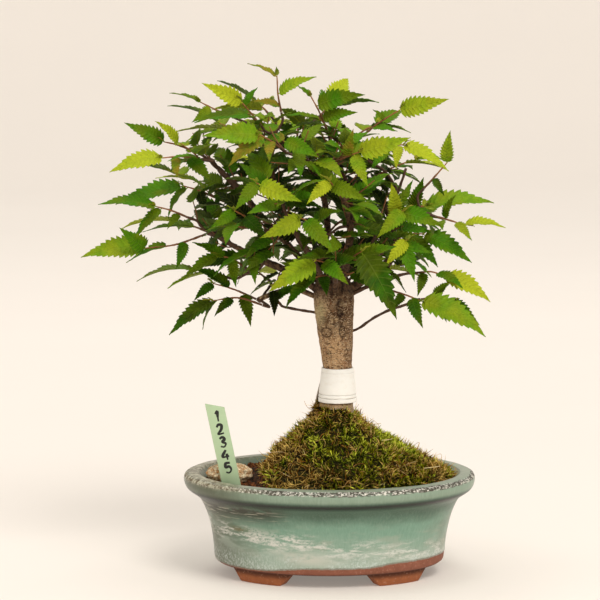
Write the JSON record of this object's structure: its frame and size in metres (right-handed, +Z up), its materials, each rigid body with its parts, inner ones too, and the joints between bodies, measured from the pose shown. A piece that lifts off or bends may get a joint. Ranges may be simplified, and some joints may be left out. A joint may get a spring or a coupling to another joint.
{
  "type": "zelkova bonsai in a pot",
  "caption": "Broom-style zelkova bonsai with serrated leaves, standing in a mossy soil mound in an oval glazed pot with feet, with a plant label beside it.",
  "frame": {"origin": "on the surface that the feet stand on, below the middle of the whole object's bounding box", "axes": "+Z up along the trunk, +X to the right along the oval pot's length seen from the label's side, +Y away from that side"},
  "size_m": [0.2896, 0.2064, 0.3516],
  "materials": {
    "glaze": "celadon glaze",
    "bark": "rough bark",
    "leaf": "living leaf, satin",
    "soil": "granular soil",
    "moss": "mossy",
    "white_plastic": "satin white",
    "label_plastic": "pale green",
    "fertiliser": "pressed meal",
    "mesh_plastic": "dark"
  },
  "bodies": {
    "root": {"pot": "glaze", "tree_wood": "bark", "soil": "soil", "moss": "moss", "trunk_band": "white_plastic", "plant_label": "label_plastic", "fertiliser_ball": "fertiliser", "drain_mesh_left": "mesh_plastic", "drain_mesh_right": "mesh_plastic", "spray_crown_tip": "leaf", "spray_top_left": "leaf", "spray_upper_left_far": "leaf", "spray_top_centre": "leaf", "spray_upper_right": "leaf", "spray_right_tip": "leaf", "spray_right_shoulder": "leaf", "spray_shoulder_front": "leaf", "spray_upper_left": "leaf", "spray_left_shoulder": "leaf", "spray_front_high_left": "leaf", "spray_front_high": "leaf", "spray_left_outer_high": "leaf", "spray_left_outer": "leaf", "spray_left_outer_low": "leaf", "spray_left_lower": "leaf", "spray_left_skirt": "leaf", "spray_left_bottom": "leaf", "spray_low_left": "leaf", "spray_front_low_left": "leaf", "spray_front_low": "leaf", "spray_front_left": "leaf", "spray_front_top": "leaf", "spray_front_centre": "leaf", "spray_front_left_face": "leaf", "spray_front_big_leaf": "leaf", "spray_front_right": "leaf", "spray_right_yellow": "leaf", "spray_right_outer": "leaf", "spray_right_outer_high": "leaf", "spray_right_far": "leaf", "spray_right_lower": "leaf", "spray_right_bottom": "leaf", "spray_low_right": "leaf", "spray_back_row_1_1": "leaf", "spray_back_row_1_2": "leaf", "spray_back_row_1_3": "leaf", "spray_back_row_1_4": "leaf", "spray_back_row_2_1": "leaf", "spray_back_row_2_2": "leaf", "spray_back_row_2_3": "leaf", "spray_back_row_2_4": "leaf", "spray_back_row_3_1": "leaf", "spray_back_row_3_2": "leaf", "spray_back_row_3_3": "leaf", "spray_back_row_3_4": "leaf", "spray_back_row_4_1": "leaf", "spray_back_row_4_2": "leaf", "spray_back_row_4_3": "leaf", "spray_back_row_5_1": "leaf", "spray_back_row_5_2": "leaf"}
  },
  "joints": []
}
